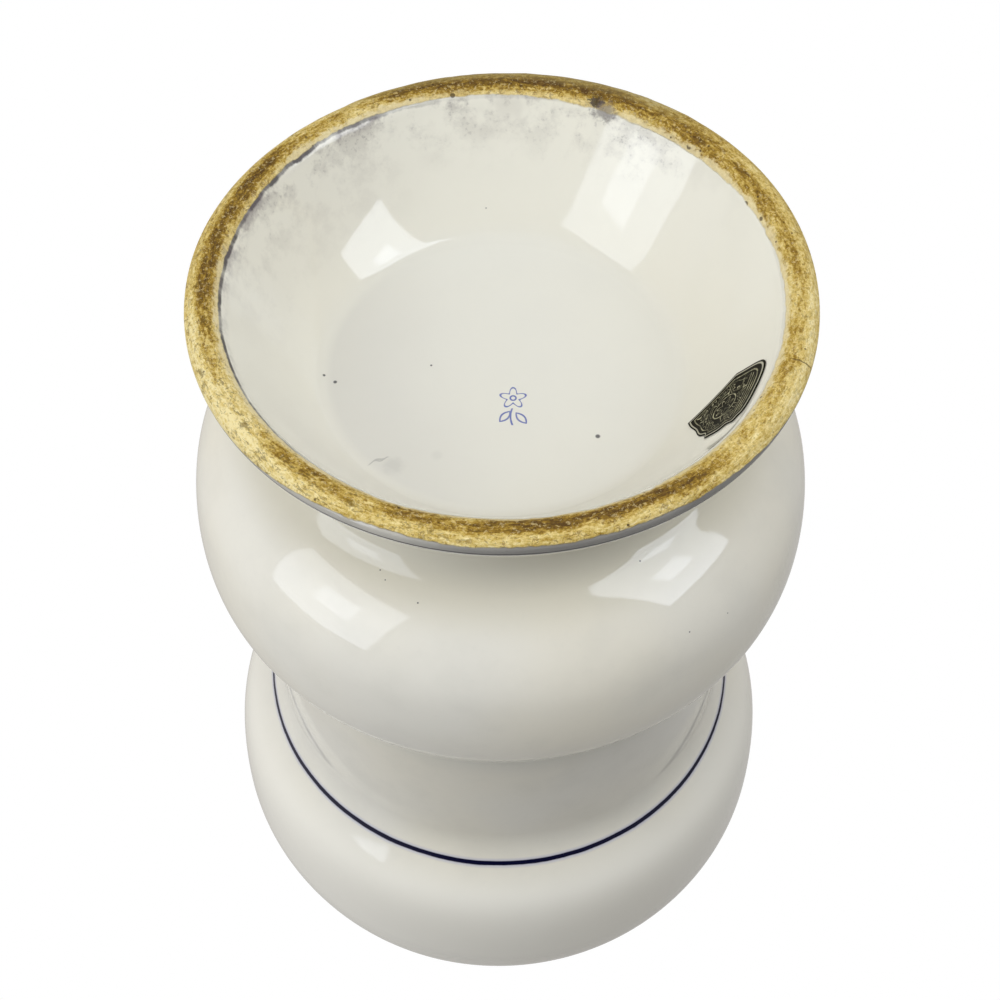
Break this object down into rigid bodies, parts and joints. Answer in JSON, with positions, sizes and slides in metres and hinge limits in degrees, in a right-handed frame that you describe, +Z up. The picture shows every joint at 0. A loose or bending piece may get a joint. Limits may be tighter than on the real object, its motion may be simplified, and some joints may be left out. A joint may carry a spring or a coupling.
{
  "type": "cookie jar",
  "caption": "Footed white glazed cookie jar with two bulges, a straight waist, a thin blue line, a bare clay foot ring and a loose domed lid that lifts off.",
  "frame": {"origin": "centre of the foot ring, on the surface that the jar stands on", "axes": "+Z up along the jar's axis to the lid; +X and +Y in the standing plane, with the label on the -X side"},
  "size_m": [0.1428, 0.1428, 0.264],
  "materials": {
    "glaze": "glossy white glaze, bare tan clay on the foot ring",
    "lid_glaze": "glossy white glaze with a thin blue line",
    "foil": "dark foil paper with a gold edge"
  },
  "bodies": {
    "jar": {"jar_body": "glaze", "foil_label": "foil"},
    "lid": {"lid": "lid_glaze"}
  },
  "joints": [
    {"name": "lid_lift", "type": "slide", "parent": "jar", "child": "lid", "axis": [0, 0, 1], "range_m": [0, 0.12]}
  ]
}
